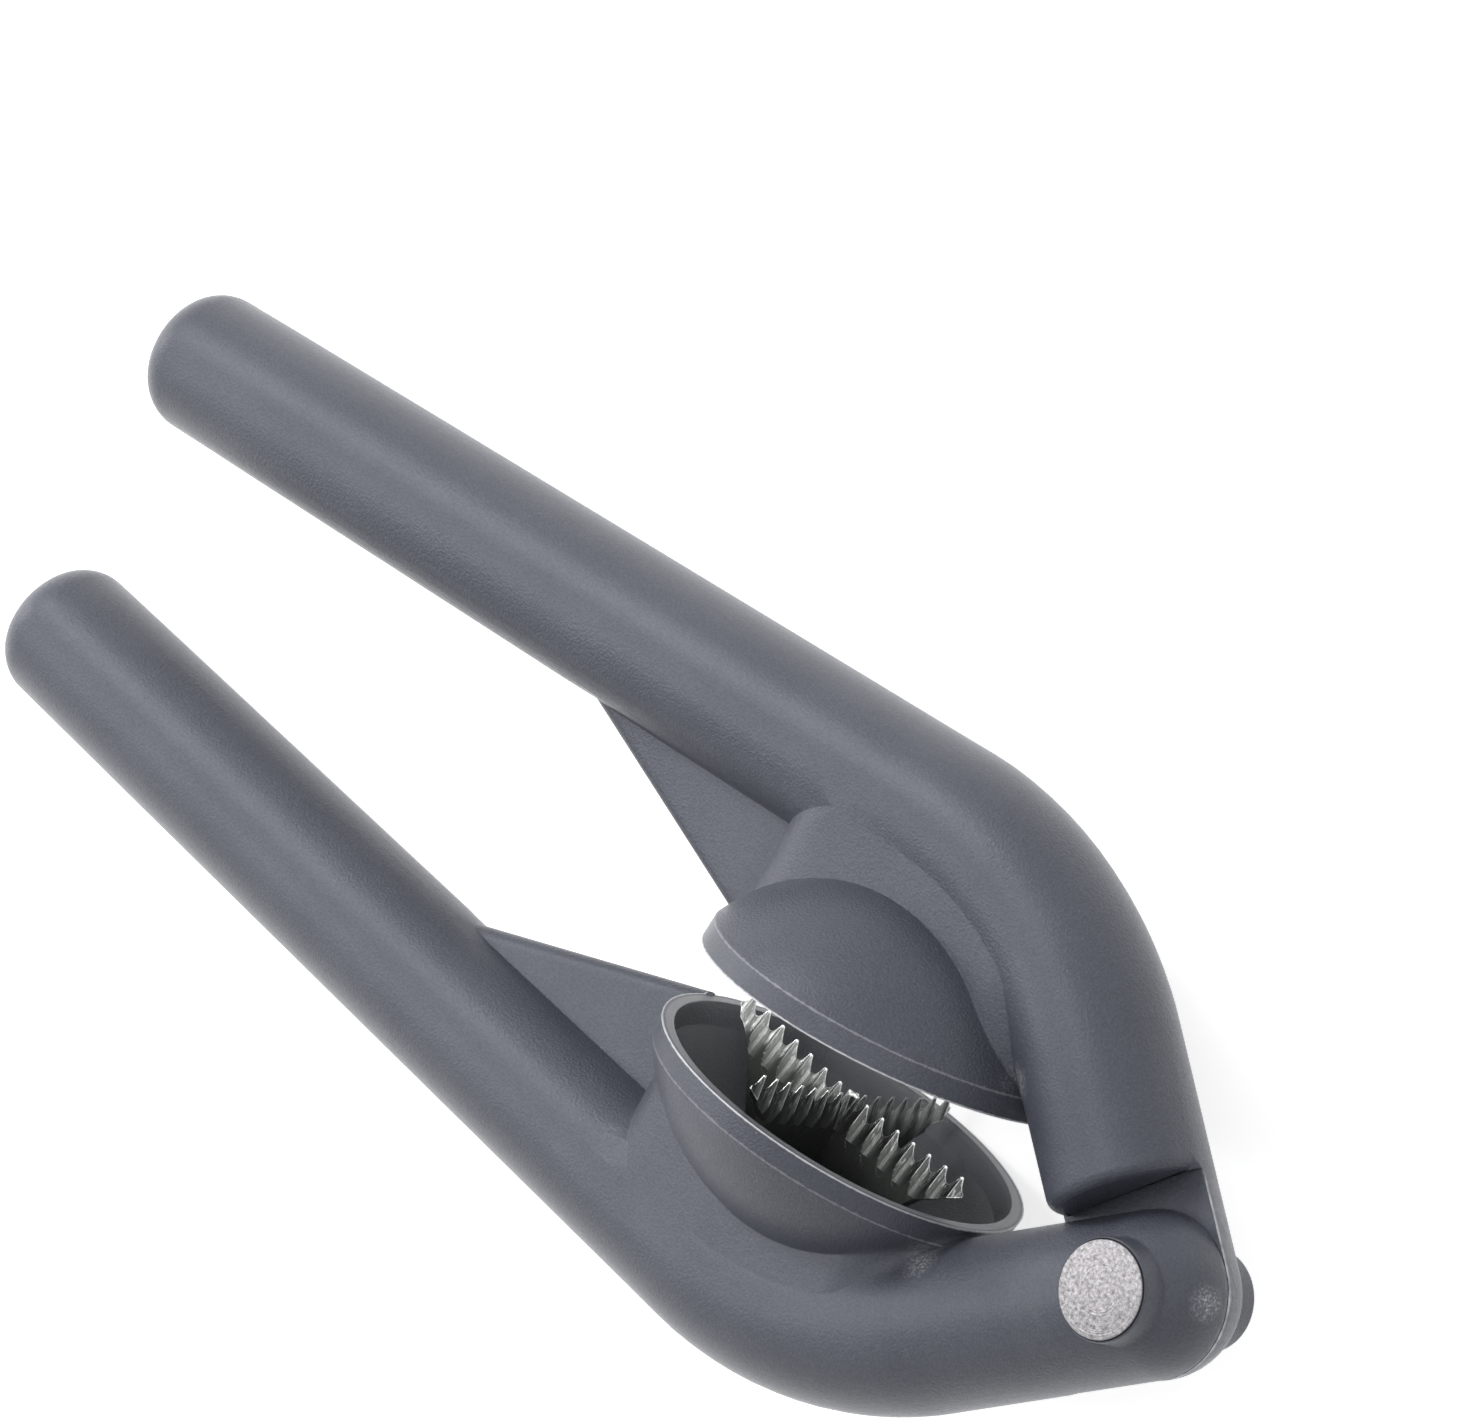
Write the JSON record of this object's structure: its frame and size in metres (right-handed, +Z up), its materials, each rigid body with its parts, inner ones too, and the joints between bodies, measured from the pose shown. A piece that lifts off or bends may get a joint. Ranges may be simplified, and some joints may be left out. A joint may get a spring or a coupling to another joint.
{
  "type": "chestnut cutter",
  "caption": "Hand-held chestnut cutter: two hinged cast arms with round cup jaws, the lower cup holding crossed toothed blades.",
  "frame": {"origin": "on the table under the middle of the outline, with the tool lying on its side on both rims and both handle ends", "axes": "+X runs from the hinge to the handles, +Y towards the arm that holds the blades, +Z up"},
  "size_m": [0.171, 0.069, 0.0424],
  "materials": {
    "coated_casting": "satin",
    "pin_steel": "satin",
    "blade_steel": "satin"
  },
  "bodies": {
    "blade_side": {"lower_arm": "coated_casting", "pivot_pin": "pin_steel", "blade_long": "blade_steel", "blade_cross": "blade_steel"},
    "cup_side": {"upper_arm": "coated_casting"}
  },
  "joints": [
    {"name": "arm_hinge", "type": "hinge", "parent": "blade_side", "child": "cup_side", "pos_m": [-0.07689, 0, 0.02621], "axis": [-0.1166, 0, -0.9932], "range_deg": [0, 195]}
  ]
}
